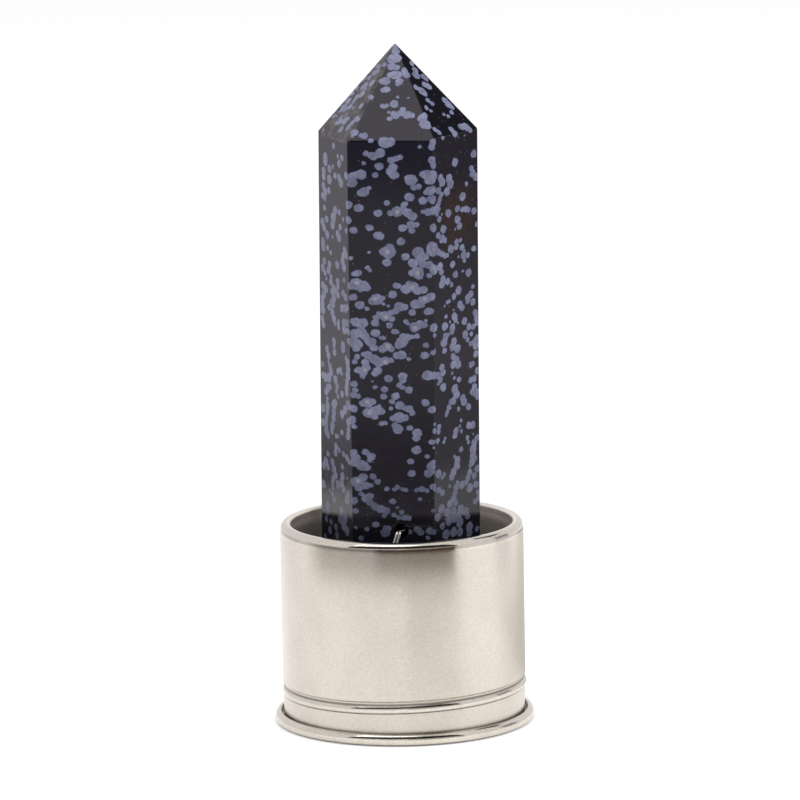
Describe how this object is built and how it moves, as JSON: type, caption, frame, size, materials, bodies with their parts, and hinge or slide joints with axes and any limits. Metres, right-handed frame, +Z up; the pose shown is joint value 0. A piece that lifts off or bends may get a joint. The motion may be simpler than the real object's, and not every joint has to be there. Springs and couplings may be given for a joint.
{
  "type": "snowflake obsidian point in a steel cup",
  "caption": "Six-sided snowflake obsidian point, ground and polished, tied down with wire in a brushed steel cup with a curled foot ring.",
  "frame": {"origin": "centre of the cup's underside, on the surface it stands on", "axes": "+Z up along the cup's axis towards the point's tip, and the drilled hole and the wire face -Y"},
  "size_m": [0.045, 0.045, 0.1183],
  "materials": {
    "cup_steel": "satin brushed wall with a polished rim, bead and foot ring",
    "disc_steel": "plain satin",
    "obsidian": "polished black volcanic glass with blue-grey flakes",
    "wire_steel": "bright drawn wire"
  },
  "bodies": {
    "root": {"steel_cup": "cup_steel", "carrier_disc": "disc_steel", "crystal": "obsidian", "tie_wire": "wire_steel"}
  },
  "joints": []
}
